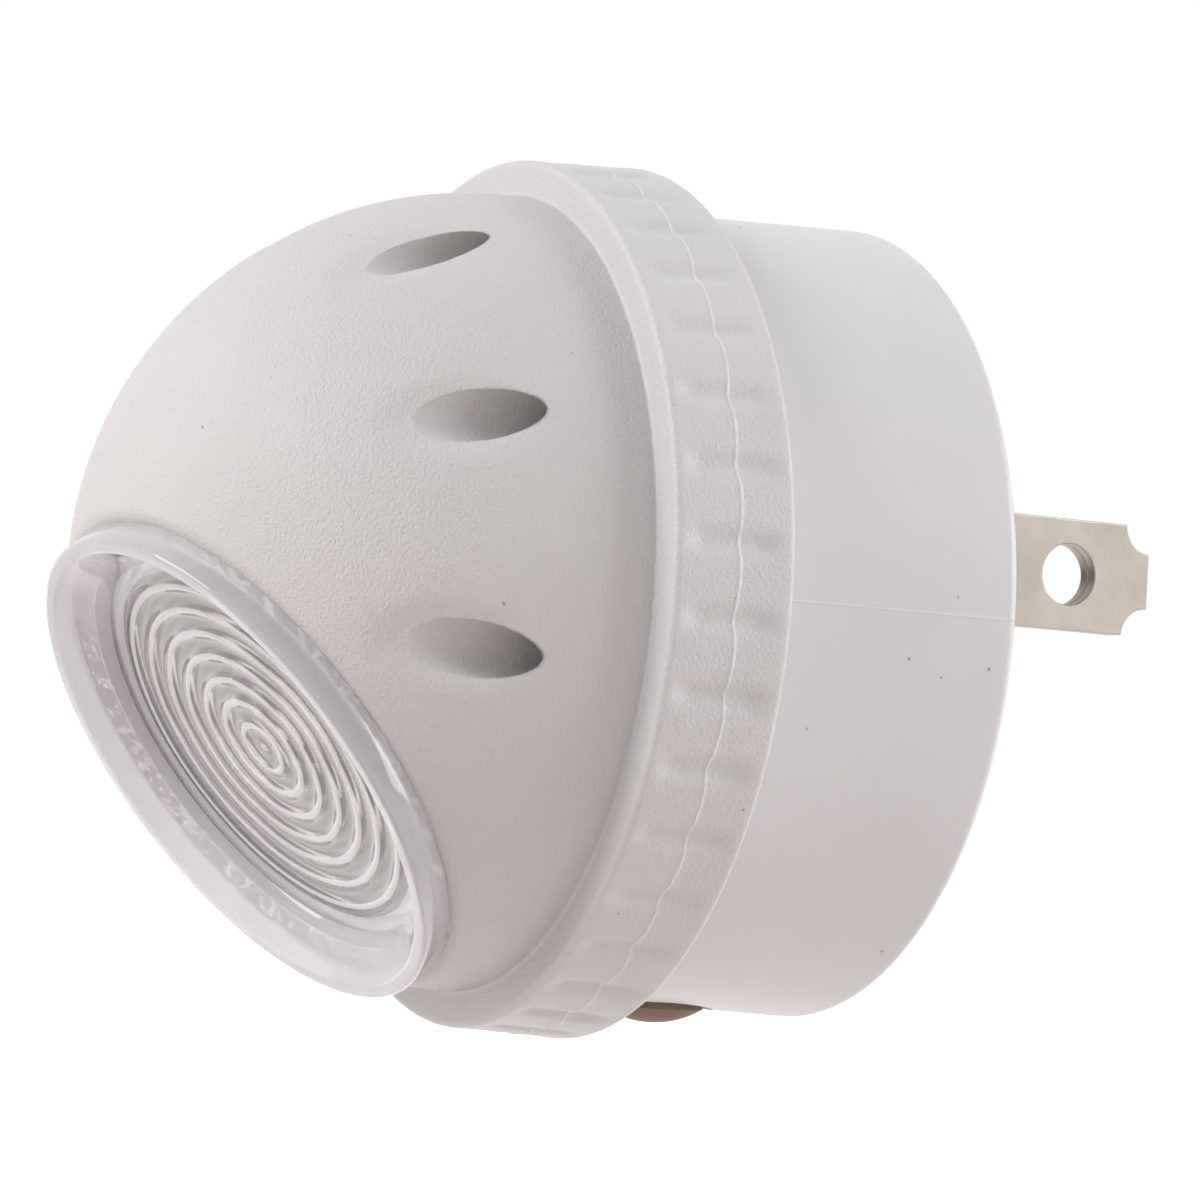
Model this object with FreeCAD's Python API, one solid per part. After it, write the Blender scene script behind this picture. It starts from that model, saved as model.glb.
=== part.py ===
import FreeCAD, Part
import math
import os

os.makedirs("parts", exist_ok=True)

# Plug-in night light. Millimetres. The wall face of the base is the plane y = 0,
# its centre is the origin, +Y runs into the wall and +Z is up.

# Plug blades
blade_spacing = 12.7
blade_width = 6.35
blade_thickness = 1.5
blade_length = 18.25
blade_rise = 3.75
blade_hole_r = 1.75
blade_hole_y = 12.83
blade_hole_chamfer = 0.15
blade_corner_r = 1.6
blade_foot_reach = 2.2
blade_foot_depth = 0.8
blade_foot_width = 4.0

# Base housing: wall and front radii outside, bore inside, neck in front
base_bore_r = 19.6
base_depth = 14.3
base_wall = 2.82
base_taper = 0.54
base_edge_round = 0.5
base_wall_r = base_bore_r + base_wall
base_front_r = base_wall_r - base_taper
board_ledge = 1.0
neck_wall = 2.0
neck_length = 5.85
neck_lip = 0.6
neck_lip_depth = 0.95
neck_lip_chamfer = 0.3
front_wall = 1.6
neck_bore_r = base_bore_r - board_ledge
neck_r = neck_bore_r + neck_wall
neck_front_y = -base_depth - neck_length
neck_lip_r = neck_r + neck_lip
neck_lip_y = neck_front_y + neck_lip_depth
front_wall_y = neck_front_y + front_wall

# Friction ring in the neck's groove
seal_section_r = 0.6
seal_offset = 2.3
seal_groove_depth = 0.4
seal_groove_play = 0.05
seal_y = -base_depth - seal_offset
seal_groove_r = neck_r - seal_groove_depth
seal_groove_half = seal_section_r + seal_groove_play

# Wall plate and its screws
plate_ledge = 0.6
plate_thickness = 2.4
plate_gap = 0.15
slot_gap = 0.1
screw_boss_r = 2.6
screw_boss_inset = 3.3
screw_rib = 1.6
screw_shank_r = 1.2
screw_gap = 0.03
screw_head_r = 2.4
screw_head_sink = 0.1
screw_cone_depth = 1.2
screw_seat_gap = 0.08
plate_screw_length = 11.0
recess_depth = 0.7
recess_reach = 1.2
recess_width = 0.5
plate_r = base_bore_r + plate_ledge
plate_screw_x = base_bore_r - screw_boss_inset

# Insulating clamp that holds the blades
clamp_half_x = 11.0
clamp_half_z = 5.5
clamp_depth = 4.0
clamp_screw_length = 5.0

# Circuit board
board_gap = 0.2
board_thickness = 1.6
board_seat_drop = 0.1
board_post_x = 10.5
board_post_z = 12.5
board_post_r = 2.0
board_screw_r = 0.9
board_screw_head_r = 1.8
board_screw_head_depth = 1.0
board_screw_length = 3.6
board_recess_depth = 0.6
board_recess_reach = 1.1
board_r = base_bore_r - board_gap
board_seat_y = -base_depth - board_seat_drop
board_back_y = board_seat_y + board_thickness

# Parts on the board: sizes, then places
dropper_length = 13.0
dropper_width = 5.0
dropper_height = 8.0
dropper_round = 0.8
dropper_z = -10.1
can_r = 3.15
can_height = 7.0
can_round = 0.3
can_neck_depth = 0.2
can_x = -12.3
can_z = -5.5
bridge_length = 6.0
bridge_width = 4.8
bridge_height = 2.5
bridge_lift = 0.3
bridge_x = 12.2
bridge_z = -5.0
bridge_pin_width = 0.8
bridge_pin_spacing = 3.2
bridge_pin_reach = 0.6
fuse_body_r = 1.25
fuse_half_length = 3.4
fuse_z = 12.6
resistor_body_r = 1.1
resistor_half_length = 3.2
bleed_z = 8.6
sensor_resistor_z = 4.4
resistor_lift = 0.3
resistor_lead_r = 0.3
resistor_lead_reach = 1.0
transistor_r = 2.3
transistor_height = 4.6
transistor_lift = 1.4
transistor_flat = 1.3
transistor_pin = 0.5
transistor_pin_spacing = 1.27
transistor_x = -13.2
transistor_z = 5.4
supply_wire_r = 0.7
supply_wire_offset = 1.2
supply_pad_x = 9.4
supply_pad_z = 1.0
supply_wire_drop = 1.6
supply_pad_rise = 1.9

# Daylight sensor
sensor_window_r = 2.95
sensor_window_gap = 0.65
sensor_flange_lap = 0.5
sensor_flange_depth = 0.8
sensor_pad_lap = 0.2
sensor_pad_depth = 1.6
sensor_pad_rise = 0.7
sensor_board_gap = 0.2
sensor_stem = 3.3
sensor_crown = 0.9
photocell_r = 2.55
photocell_depth = 2.0
photocell_lead_r = 0.3
photocell_lead_x = 1.3
photocell_lead_rise = 1.2
sensor_hole_r = sensor_window_r + sensor_window_gap
sensor_flange_r = sensor_hole_r + sensor_flange_lap
sensor_pad_r = sensor_flange_r + sensor_pad_lap
sensor_y = board_back_y + sensor_board_gap + sensor_flange_r
sensor_seat_z = sensor_pad_rise - base_bore_r
sensor_shoulder_z = sensor_seat_z - sensor_stem
sensor_tip_z = sensor_shoulder_z - sensor_crown

# Light source
led_r = 2.48
led_gap = 0.12
led_flange_r = 2.9
led_flange_depth = 1.0
led_straight = 6.12
led_lead_r = 0.25
led_lead_x = 1.27
led_cup_gap = 0.08
led_cup_wall = 1.22
led_cup_floor = 0.8
led_cup_mouth_r = 2.0
led_hole_r = led_r + led_gap

# Swivel head: ring that runs over the neck, and dome in front of it
head_turn = -9.0
head_gap = 0.2
swivel_gap = 0.3
ring_wall = 2.68
ring_taper = 0.35
ring_front_wall = 0.83
ring_edge_round = 0.3
ledge_gap = 0.25
dome_step = 0.3
dome_offset = 0.34
dome_wall = 2.0
dome_fillet = 0.6
head_rear_y = -base_depth - head_gap
ring_bore_r = neck_lip_r + swivel_gap
ring_rear_r = ring_bore_r + ring_wall
ring_front_r = ring_rear_r - ring_taper
ring_ledge_y = neck_front_y - ledge_gap
ring_front_y = ring_ledge_y - ring_front_wall
dome_r = ring_bore_r + dome_step
dome_centre_y = ring_front_y - dome_offset
dome_fillet_r = dome_r + dome_fillet

# Flutes around the ring
flute_count = 38
flute_depth = 0.22
flute_tool_r = 8.0
flute_rear_inset = 2.9
flute_front_inset = 2.83
flute_phase = -0.5
flute_rear_y = head_rear_y - flute_rear_inset
flute_front_y = ring_front_y + flute_front_inset

# Open clip ring in the head, behind the lip of the neck
clip_depth = 1.2
clip_play = 0.2
clip_bore_gap = 0.15
clip_grip = 0.6
clip_groove_room = 0.5
clip_groove_play = 0.1
clip_opening = 30.0
clip_inner_r = neck_r + clip_bore_gap
clip_outer_r = ring_bore_r + clip_grip
clip_front_y = neck_lip_y + clip_play
clip_rear_y = clip_front_y + clip_depth
clip_groove_r = clip_outer_r + clip_groove_room
clip_groove_front_y = clip_front_y - clip_groove_play
clip_groove_rear_y = clip_rear_y + clip_groove_play

# Ventilation scoops: round cuts along Y, sunk into the dome
vent_r = 1.45
vent_sink = 2.1
vent_rear = 4.0
vent_reach = 10.0
vent_angles = [0.0, 40.0, 75.0, 110.0, -40.0, -75.0, -110.0]
vent_line_r = dome_r - vent_sink

# Lens, all depths measured from the dome centre along the lens axis
lens_tilt = 38.4
lens_cap_depth = 6.08
lens_flange_depth = 1.94
lens_flange_r = 14.71
lens_flange_round = 0.15
lens_rim = 0.81
lens_recess = 2.4
lens_recess_slope = 1.95
lens_disc_rise = 1.82
lens_lap = 1.81
lens_gap = 0.1
lens_spigot_wall = 1.5
lens_boss_wall = 2.0
lens_boss_length = 2.12
lens_clip_depth = 0.7
lens_clip_sink = 0.45
lens_clip_reach = 1.1
lens_clip_gap = 0.02
lens_clip_opening = 24.0
lens_spigot_tip = 0.6
lens_spigot_lead = 0.4
ridge_pitch = 1.47
ridge_height = 0.4
ridge_margin = 0.15
lens_seat = dome_r - lens_cap_depth
lens_front = lens_seat + lens_flange_depth
lens_mouth_r = lens_flange_r - lens_rim
lens_disc_r = lens_mouth_r - lens_recess_slope
lens_disc_back = lens_seat - lens_disc_rise
lens_hole_r = lens_flange_r - lens_lap
lens_spigot_r = lens_hole_r - lens_gap
lens_spigot_bore_r = lens_spigot_r - lens_spigot_wall
lens_boss_r = lens_hole_r + lens_boss_wall
lens_boss_depth = lens_seat - lens_boss_length
lens_clip_near = lens_boss_depth - lens_clip_depth
lens_clip_groove_r = lens_spigot_r - lens_clip_sink
lens_clip_outer_r = lens_hole_r + lens_clip_reach
lens_spigot_end = lens_clip_near - lens_spigot_tip

# Cutting tools run this far past the faces they cut
beyond = 1.0

HALF_ROOT = math.sqrt(0.5)
V = FreeCAD.Vector
origin = V(0, 0, 0)
axis_x = V(1, 0, 0)
axis_y = V(0, 1, 0)
axis_z = V(0, 0, 1)
dome_centre = V(0, dome_centre_y, 0)


def outward(shape):
    if shape.Volume < 0:
        shape.reverse()
    return shape


def turned(start, *steps):
    """Solid of revolution about Y from a closed outline of (radius, y) points.
    A step of four numbers is an arc through its first pair to its second pair."""
    edges = []
    here = V(start[0], start[1], 0)
    first = here
    for step in steps:
        end = V(step[-2], step[-1], 0)
        if len(step) == 4:
            edges.append(Part.Arc(here, V(step[0], step[1], 0), end).toShape())
        else:
            edges.append(Part.LineSegment(here, end).toShape())
        here = end
    edges.append(Part.LineSegment(here, first).toShape())
    return outward(Part.Face(Part.Wire(edges)).revolve(origin, axis_y, 360))


def rod(radius, y_low, y_high, x=0.0, z=0.0):
    return Part.makeCylinder(radius, y_high - y_low, V(x, y_low, z), axis_y)


def tube(inner_r, outer_r, y_low, y_high):
    return rod(outer_r, y_low, y_high).cut(rod(inner_r, y_low - beyond, y_high + beyond))


def block(x_low, x_high, y_low, y_high, z_low, z_high):
    corner = V(x_low, y_low, z_low)
    return Part.makeBox(x_high - x_low, y_high - y_low, z_high - z_low, corner)


def wire_run(radius, points):
    """Round wire along straight legs, with a ball at every bend."""
    run = None
    corners = [V(*point) for point in points]
    for low, high in zip(corners, corners[1:]):
        leg = Part.makeCylinder(radius, (high - low).Length, low, high - low)
        run = leg if run is None else run.fuse(leg)
    for corner in corners[1:-1]:
        run = run.fuse(Part.makeSphere(radius, corner))
    return run.removeSplitter()


def open_ring(ring, opening, y_low, y_high, reach):
    """Removes a wedge of the given angle, centred on +Z, from a ring."""
    half = math.radians(opening / 2)
    side = reach * math.tan(half)
    low = y_low - beyond
    corners = [V(0, low, 0), V(side, low, reach), V(-side, low, reach)]
    outline = Part.makePolygon(corners + corners[:1])
    wedge = Part.Face(outline).extrude(V(0, y_high + beyond - low, 0))
    return ring.cut(wedge)


def cross_recess(top_y, depth, reach, x, z, facing=1):
    half = recess_width / 2
    low, high = sorted([top_y + facing * beyond, top_y - facing * depth])
    wide = block(x - reach, x + reach, low, high, z - half, z + half)
    return wide.fuse(block(x - half, x + half, low, high, z - reach, z + reach))


def on_lens_axis(shape):
    """Moves a shape drawn about -Y from the origin onto the lens axis."""
    placed = shape.copy()
    placed.rotate(origin, axis_x, lens_tilt)
    placed.translate(dome_centre)
    return placed


def on_head(shape):
    placed = shape.copy()
    placed.rotate(origin, axis_y, head_turn)
    return placed


def save(name, shape):
    shape.exportStep("parts/" + name + ".step")


# Base housing: cup open to the wall, with a neck that carries the head
plate_seat_y = -plate_thickness
plate_pocket_r = plate_r + plate_gap
edge_mid = base_edge_round * (1 - HALF_ROOT)
housing = turned(
    (0, 0),
    (base_wall_r - base_edge_round, 0),
    (base_wall_r - edge_mid, -edge_mid, base_wall_r, -base_edge_round),
    (base_front_r, -base_depth),
    (neck_r, -base_depth),
    (neck_r, neck_lip_y),
    (neck_lip_r, neck_lip_y),
    (neck_lip_r, neck_front_y + neck_lip_chamfer),
    (neck_lip_r - neck_lip_chamfer, neck_front_y),
    (0, neck_front_y),
)
cavity = turned(
    (0, beyond),
    (plate_pocket_r, beyond),
    (plate_pocket_r, plate_seat_y),
    (base_bore_r, plate_seat_y),
    (base_bore_r, board_seat_y),
    (neck_bore_r, board_seat_y),
    (neck_bore_r, front_wall_y),
    (0, front_wall_y),
)
housing = housing.cut(cavity)
seal_low_y = seal_y - seal_groove_half
seal_high_y = seal_y + seal_groove_half
housing = housing.cut(tube(seal_groove_r, neck_r + beyond, seal_low_y, seal_high_y))
housing = housing.cut(rod(led_hole_r, neck_front_y - beyond, front_wall_y + beyond))
root = front_wall / 4
within_base = rod(base_bore_r + root, front_wall_y - root, plate_seat_y)
for side in (-1, 1):
    boss_x = side * plate_screw_x
    boss = rod(screw_boss_r, front_wall_y - root, plate_seat_y, boss_x)
    rib_x = sorted([boss_x, side * base_front_r])
    rib_z = screw_rib / 2
    rib = block(rib_x[0], rib_x[1], board_seat_y - root, plate_seat_y, -rib_z, rib_z)
    housing = housing.fuse(boss.fuse(rib.common(within_base)))
    post_x = side * board_post_x
    post = rod(board_post_r, front_wall_y - root, board_seat_y, post_x, board_post_z)
    housing = housing.fuse(post)
for side in (-1, 1):
    boss_x = side * plate_screw_x
    pilot_low = plate_seat_y - plate_screw_length
    housing = housing.cut(rod(screw_shank_r + screw_gap, pilot_low, beyond, boss_x))
    post_x = side * board_post_x
    pilot_low = board_seat_y + board_thickness - board_screw_length
    pilot_high = board_seat_y + beyond
    pilot_r = board_screw_r + screw_gap
    housing = housing.cut(rod(pilot_r, pilot_low, pilot_high, post_x, board_post_z))
sensor_point = V(0, sensor_y, sensor_seat_z)
down = V(0, 0, -1)
sensor_pad = Part.makeCylinder(sensor_pad_r, sensor_pad_depth, sensor_point, down)
housing = housing.fuse(sensor_pad)
bore_top = V(0, sensor_y, sensor_seat_z + beyond)
bore_length = base_wall_r + sensor_seat_z + 2 * beyond
sensor_bore = Part.makeCylinder(sensor_hole_r, bore_length, bore_top, down)
housing = housing.cut(sensor_bore).removeSplitter()
save("base_housing", housing)

# Wall plate: closes the base against the wall and guides the blades
plate = rod(plate_r, plate_seat_y, 0)
half_slot_x = blade_thickness / 2 + slot_gap
half_slot_z = blade_width / 2 + slot_gap
blade_x = blade_spacing / 2
slot_low = blade_rise - half_slot_z
slot_high = blade_rise + half_slot_z
clamp_front_y = plate_seat_y - clamp_depth
clamp_pilot_r = board_screw_r + screw_gap
plate_low_y = plate_seat_y - beyond
seat_r = screw_head_r + screw_seat_gap
way_r = screw_shank_r + slot_gap
for side in (-1, 1):
    middle = side * blade_x
    low_x = middle - half_slot_x
    high_x = middle + half_slot_x
    plate = plate.cut(block(low_x, high_x, plate_low_y, beyond, slot_low, slot_high))
    seat = turned(
        (0, beyond),
        (seat_r, beyond),
        (seat_r, -screw_head_sink),
        (way_r, -screw_head_sink - screw_cone_depth),
        (way_r, plate_low_y),
        (0, plate_low_y),
    )
    seat.translate(V(side * plate_screw_x, 0, 0))
    plate = plate.cut(seat)
clamp_pilot_high = clamp_front_y + clamp_screw_length + slot_gap
plate = plate.cut(rod(clamp_pilot_r, plate_low_y, clamp_pilot_high, 0, blade_rise))
save("wall_plate", plate)

# Countersunk screws of the wall plate
for name, side in (("wall_plate_screw_right", 1), ("wall_plate_screw_left", -1)):
    screw = turned(
        (0, -screw_head_sink),
        (screw_head_r, -screw_head_sink),
        (screw_shank_r, -screw_head_sink - screw_cone_depth),
        (screw_shank_r, screw_shank_r - plate_screw_length),
        (0, -plate_screw_length),
    )
    screw = screw.cut(cross_recess(-screw_head_sink, recess_depth, recess_reach, 0, 0))
    screw.translate(V(side * plate_screw_x, 0, 0))
    save(name, screw)

# Plug blades: folded strip with a foot that sits behind the clamp
half_t = blade_thickness / 2
blade_low = blade_rise - blade_width / 2
blade_high = blade_rise + blade_width / 2
foot_back_y = clamp_front_y - blade_foot_depth
for name, side in (("blade_right", 1), ("blade_left", -1)):
    middle = side * blade_x
    blade = block(middle - half_t, middle + half_t, foot_back_y, blade_length, blade_low, blade_high)
    through = blade_thickness + 2 * beyond
    start_x = middle - through / 2
    for corner_z in (blade_low, blade_high):
        corner = V(start_x, blade_length, corner_z)
        blade = blade.cut(Part.makeCylinder(blade_corner_r, through, corner, axis_x))
    centre = V(start_x, blade_hole_y, blade_rise)
    blade = blade.cut(Part.makeCylinder(blade_hole_r, through, centre, axis_x))
    for face in (-1, 1):
        mouth = V(middle + face * half_t, blade_hole_y, blade_rise)
        wide = blade_hole_r + blade_hole_chamfer
        inward = V(-face, 0, 0)
        cone = Part.makeCone(wide, blade_hole_r, blade_hole_chamfer, mouth, inward)
        blade = blade.cut(cone)
    foot_x = sorted([middle, middle + side * (half_t + blade_foot_reach)])
    foot_low = blade_rise - blade_foot_width / 2
    foot_high = blade_rise + blade_foot_width / 2
    foot = block(foot_x[0], foot_x[1], foot_back_y, clamp_front_y, foot_low, foot_high)
    save(name, blade.fuse(foot).removeSplitter())

# Blade clamp, an insulating block screwed to the wall plate
clamp_low = blade_rise - clamp_half_z
clamp_high = blade_rise + clamp_half_z
clamp = block(-clamp_half_x, clamp_half_x, clamp_front_y, plate_seat_y, clamp_low, clamp_high)
for side in (-1, 1):
    middle = side * blade_x
    low_x = middle - half_slot_x
    high_x = middle + half_slot_x
    clamp = clamp.cut(block(low_x, high_x, clamp_front_y - beyond, 0, slot_low, slot_high))
clamp_way_r = clamp_pilot_r + slot_gap
clamp = clamp.cut(rod(clamp_way_r, clamp_front_y - beyond, 0, 0, blade_rise))
save("blade_clamp", clamp)

clamp_screw_low = clamp_front_y - board_screw_head_depth
clamp_screw = rod(board_screw_head_r, clamp_screw_low, clamp_front_y, 0, blade_rise)
clamp_shank_high = clamp_front_y + clamp_screw_length
clamp_shank = rod(board_screw_r, clamp_screw_low, clamp_shank_high, 0, blade_rise)
clamp_screw = clamp_screw.fuse(clamp_shank)
clamp_recess = cross_recess(clamp_screw_low, board_recess_depth, board_recess_reach, 0, blade_rise, -1)
clamp_screw = clamp_screw.cut(clamp_recess)
save("clamp_screw", clamp_screw)

# Circuit board on the step inside the base
board = rod(board_r, board_seat_y, board_back_y)
cut_low_y = board_seat_y - beyond
cut_high_y = board_back_y + beyond
notch_z = screw_rib / 2 + swivel_gap
for side in (-1, 1):
    boss_x = side * plate_screw_x
    notch = rod(screw_boss_r + swivel_gap, cut_low_y, cut_high_y, boss_x)
    notch_x = sorted([boss_x, side * (board_r + beyond)])
    slit = block(notch_x[0], notch_x[1], cut_low_y, cut_high_y, -notch_z, notch_z)
    board = board.cut(notch.fuse(slit))
    post_x = side * board_post_x
    way_r = board_screw_r + slot_gap
    board = board.cut(rod(way_r, cut_low_y, cut_high_y, post_x, board_post_z))
save("circuit_board", board)

for name, side in (("board_screw_right", 1), ("board_screw_left", -1)):
    head_top = board_back_y + board_screw_head_depth
    shank_low = board_back_y - board_screw_length
    at_x = side * board_post_x
    screw = rod(board_screw_head_r, board_back_y, head_top, at_x, board_post_z)
    screw = screw.fuse(rod(board_screw_r, shank_low, head_top, at_x, board_post_z))
    recess = cross_recess(head_top, board_recess_depth, board_recess_reach, at_x, board_post_z)
    save(name, screw.cut(recess))

# Dropper capacitor: dipped block with rounded upright edges
half_length = dropper_length / 2
half_width = dropper_width / 2
dropper_top = board_back_y + dropper_height
dropper = block(-half_length, half_length, board_back_y, dropper_top,
                dropper_z - half_width, dropper_z + half_width)
upright = [e for e in dropper.Edges if abs(e.tangentAt(e.FirstParameter).y) > HALF_ROOT]
save("dropper_capacitor", dropper.makeFillet(dropper_round, upright))

# Filter capacitor: can with a rolled groove near its foot
can_top = board_back_y + can_height
can = turned(
    (0, board_back_y),
    (can_r - can_round, board_back_y),
    (can_r, board_back_y + can_round),
    (can_r, board_back_y + 3 * can_round),
    (can_r - can_neck_depth, board_back_y + 4 * can_round),
    (can_r, board_back_y + 5 * can_round),
    (can_r, can_top - can_round),
    (can_r - can_round, can_top),
    (0, can_top),
)
can.translate(V(can_x, 0, can_z))
save("filter_capacitor", can)

# Bridge rectifier: moulded block on four flat pins
half_length = bridge_length / 2
half_width = bridge_width / 2
bridge_low = board_back_y + bridge_lift
bridge = block(bridge_x - half_length, bridge_x + half_length, bridge_low,
               bridge_low + bridge_height, bridge_z - half_width, bridge_z + half_width)
half_pin = bridge_pin_width / 2
pin_top = bridge_low + bridge_height / 2
pin_reach = half_width + bridge_pin_reach
for side in (-1, 1):
    pin_x = bridge_x + side * bridge_pin_spacing / 2
    bridge = bridge.fuse(block(pin_x - half_pin, pin_x + half_pin, board_back_y, pin_top,
                               bridge_z - pin_reach, bridge_z + pin_reach))
save("bridge_rectifier", bridge)

# Axial resistors lying on the board
for name, row_z, body_r, half_length in (
    ("fuse_resistor", fuse_z, fuse_body_r, fuse_half_length),
    ("bleed_resistor", bleed_z, resistor_body_r, resistor_half_length),
    ("sensor_resistor", sensor_resistor_z, resistor_body_r, resistor_half_length),
):
    lift = board_back_y + body_r + resistor_lift
    body = Part.makeCylinder(body_r, 2 * half_length, V(-half_length, lift, row_z), axis_x)
    foot_x = half_length + resistor_lead_reach
    leads = wire_run(resistor_lead_r, [
        (-foot_x, board_back_y, row_z),
        (-foot_x, lift, row_z),
        (foot_x, lift, row_z),
        (foot_x, board_back_y, row_z),
    ])
    save(name, body.fuse(leads))

# Transistor: round case with one flat, on three pins
case_low = board_back_y + transistor_lift
case = rod(transistor_r, case_low, case_low + transistor_height, transistor_x, transistor_z)
case = case.cut(block(transistor_x - 2 * transistor_r, transistor_x + 2 * transistor_r,
                      case_low - beyond, case_low + transistor_height + beyond,
                      transistor_z + transistor_flat, transistor_z + 2 * transistor_r))
half_pin = transistor_pin / 2
for place in (-1, 0, 1):
    pin_x = transistor_x + place * transistor_pin_spacing
    case = case.fuse(block(pin_x - half_pin, pin_x + half_pin, board_back_y,
                           case_low + transistor_pin, transistor_z - half_pin,
                           transistor_z + half_pin))
save("transistor", case)

# Supply wires from the blade feet to the board
wire_x = blade_x + half_t + supply_wire_offset
for name, side in (("line_wire", 1), ("neutral_wire", -1)):
    run = wire_run(supply_wire_r, [
        (side * wire_x, foot_back_y, blade_rise),
        (side * wire_x, foot_back_y - supply_wire_drop, blade_rise),
        (side * supply_pad_x, board_back_y + supply_pad_rise, supply_pad_z),
        (side * supply_pad_x, board_back_y, supply_pad_z),
    ])
    save(name, run)

# Daylight sensor under the base: smoky window, cell behind it and its leads
window_ball_r = (sensor_window_r ** 2 + sensor_crown ** 2) / (2 * sensor_crown)
window_top = sensor_seat_z + sensor_flange_depth
stem_length = window_top - sensor_shoulder_z
window = Part.makeCylinder(sensor_window_r, stem_length, V(0, sensor_y, window_top), down)
cap = Part.makeSphere(window_ball_r, V(0, sensor_y, sensor_tip_z + window_ball_r))
sleeve_top = V(0, sensor_y, sensor_shoulder_z + sensor_crown / 2)
sleeve = Part.makeCylinder(sensor_window_r, 2 * sensor_crown, sleeve_top, down)
window = window.fuse(cap.common(sleeve))
flange_at = V(0, sensor_y, window_top)
flange = Part.makeCylinder(sensor_flange_r, sensor_flange_depth, flange_at, down)
window = window.fuse(flange).removeSplitter()
save("sensor_window", window)

cell_at = V(0, sensor_y, window_top)
cell = Part.makeCylinder(photocell_r, photocell_depth, cell_at, axis_z)
save("photocell", cell)

cell_back_z = window_top + photocell_depth
lead_z = cell_back_z + photocell_lead_rise
for name, side in (("photocell_lead_right", 1), ("photocell_lead_left", -1)):
    lead_x = side * photocell_lead_x
    lead = wire_run(photocell_lead_r, [
        (lead_x, sensor_y, cell_back_z),
        (lead_x, sensor_y, lead_z),
        (lead_x, board_back_y, lead_z),
    ])
    save(name, lead)

# Light source through the front wall, held by a cup around its flange
led_back_y = front_wall_y + led_flange_depth
led_shoulder_y = front_wall_y - led_straight
led = rod(led_flange_r, front_wall_y, led_back_y)
led = led.fuse(rod(led_r, led_shoulder_y, led_back_y))
led = led.fuse(Part.makeSphere(led_r, V(0, led_shoulder_y, 0))).removeSplitter()
save("led", led)

cup_bore_r = led_flange_r + led_cup_gap
cup_r = cup_bore_r + led_cup_wall
cup = tube(cup_bore_r, cup_r, front_wall_y, led_back_y)
cup = cup.fuse(tube(led_cup_mouth_r, cup_r, led_back_y, led_back_y + led_cup_floor))
save("led_holder", cup)

for name, side in (("led_lead_right", 1), ("led_lead_left", -1)):
    save(name, rod(led_lead_r, led_back_y, board_seat_y, side * led_lead_x))

# Friction ring in the groove of the neck
seal_centre_r = seal_groove_r + seal_section_r + seal_groove_play
save("friction_ring", Part.makeTorus(seal_centre_r, seal_section_r, V(0, seal_y, 0), axis_y))

# Head shell: fluted ring and dome in one moulding
dome_start = dome_fillet / 2
dome_start_r = math.sqrt(dome_r ** 2 - dome_start ** 2)
edge = ring_edge_round
edge_mid = edge * (1 - HALF_ROOT)
shell = turned(
    (0, head_rear_y),
    (ring_rear_r - edge, head_rear_y),
    (ring_rear_r - edge_mid, head_rear_y - edge_mid, ring_rear_r, head_rear_y - edge),
    (ring_front_r, ring_front_y + edge),
    (ring_front_r - edge_mid, ring_front_y + edge_mid, ring_front_r - edge, ring_front_y),
    (dome_fillet_r, ring_front_y),
    (dome_r + dome_fillet / 4, ring_front_y - dome_fillet / 3,
     dome_start_r, dome_centre_y - dome_start),
    (dome_r * HALF_ROOT, dome_centre_y - dome_r * HALF_ROOT, 0, dome_centre_y - dome_r),
)
ring_middle_r = (ring_rear_r + ring_front_r) / 2
flute_line_r = ring_middle_r + flute_tool_r - flute_depth
for index in range(flute_count):
    angle = math.radians((index + flute_phase) * 360 / flute_count)
    at_x = flute_line_r * math.sin(angle)
    at_z = flute_line_r * math.cos(angle)
    tool = rod(flute_tool_r, flute_front_y, flute_rear_y, at_x, at_z)
    for end_y in (flute_front_y, flute_rear_y):
        tool = tool.fuse(Part.makeSphere(flute_tool_r, V(at_x, end_y, at_z)))
    shell = shell.cut(tool)
inner_r = dome_r - dome_wall
hollow = turned(
    (0, 0),
    (ring_bore_r, 0),
    (ring_bore_r, ring_ledge_y),
    (inner_r, ring_ledge_y),
    (inner_r, dome_centre_y),
    (inner_r * HALF_ROOT, dome_centre_y - inner_r * HALF_ROOT, 0, dome_centre_y - inner_r),
)
shell = shell.cut(hollow)
groove = tube(ring_bore_r - beyond, clip_groove_r, clip_groove_front_y, clip_groove_rear_y)
shell = shell.cut(groove)
vent_start_y = dome_centre_y - vent_rear - vent_reach
for vent_angle in vent_angles:
    turn = math.radians(vent_angle)
    at_x = vent_line_r * math.sin(turn)
    at_z = vent_line_r * math.cos(turn)
    shell = shell.cut(rod(vent_r, vent_start_y, dome_centre_y - vent_rear, at_x, at_z))
shell = shell.cut(on_lens_axis(rod(dome_r, -dome_r - beyond, -lens_seat)))
lens_boss = tube(lens_hole_r, lens_boss_r, -lens_seat, -lens_boss_depth)
shell = shell.fuse(on_lens_axis(lens_boss))
hole_end = beyond - math.sqrt(inner_r ** 2 - lens_hole_r ** 2) + dome_wall
shell = shell.cut(on_lens_axis(rod(lens_hole_r, -lens_seat - beyond, hole_end)))
save("head_shell", on_head(shell.removeSplitter()))

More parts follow.
